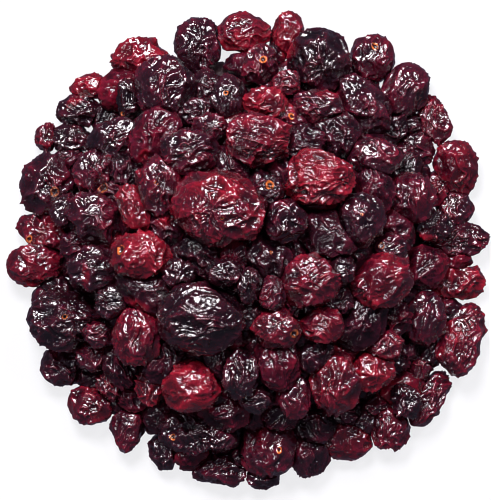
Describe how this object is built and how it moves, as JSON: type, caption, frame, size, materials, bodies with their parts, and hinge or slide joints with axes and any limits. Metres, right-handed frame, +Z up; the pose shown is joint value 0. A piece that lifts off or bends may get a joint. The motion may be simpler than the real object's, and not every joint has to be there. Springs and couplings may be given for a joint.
{
  "type": "dried cranberry heap",
  "caption": "Low round heap of whole dried cranberries, wrinkled, glossy and dark red, lying loose on a flat surface.",
  "frame": {"origin": "on the surface that the heap lies on, under the middle of the heap", "axes": "+Z up from the surface; +Y towards the top edge of the picture, +X towards its right edge"},
  "size_m": [0.075, 0.0746, 0.0226],
  "materials": {
    "cranberry_skin": "glossy wrinkled fruit skin, dark maroon to red"
  },
  "bodies": {
    "root": {"cranberry_heap": "cranberry_skin"}
  },
  "joints": []
}
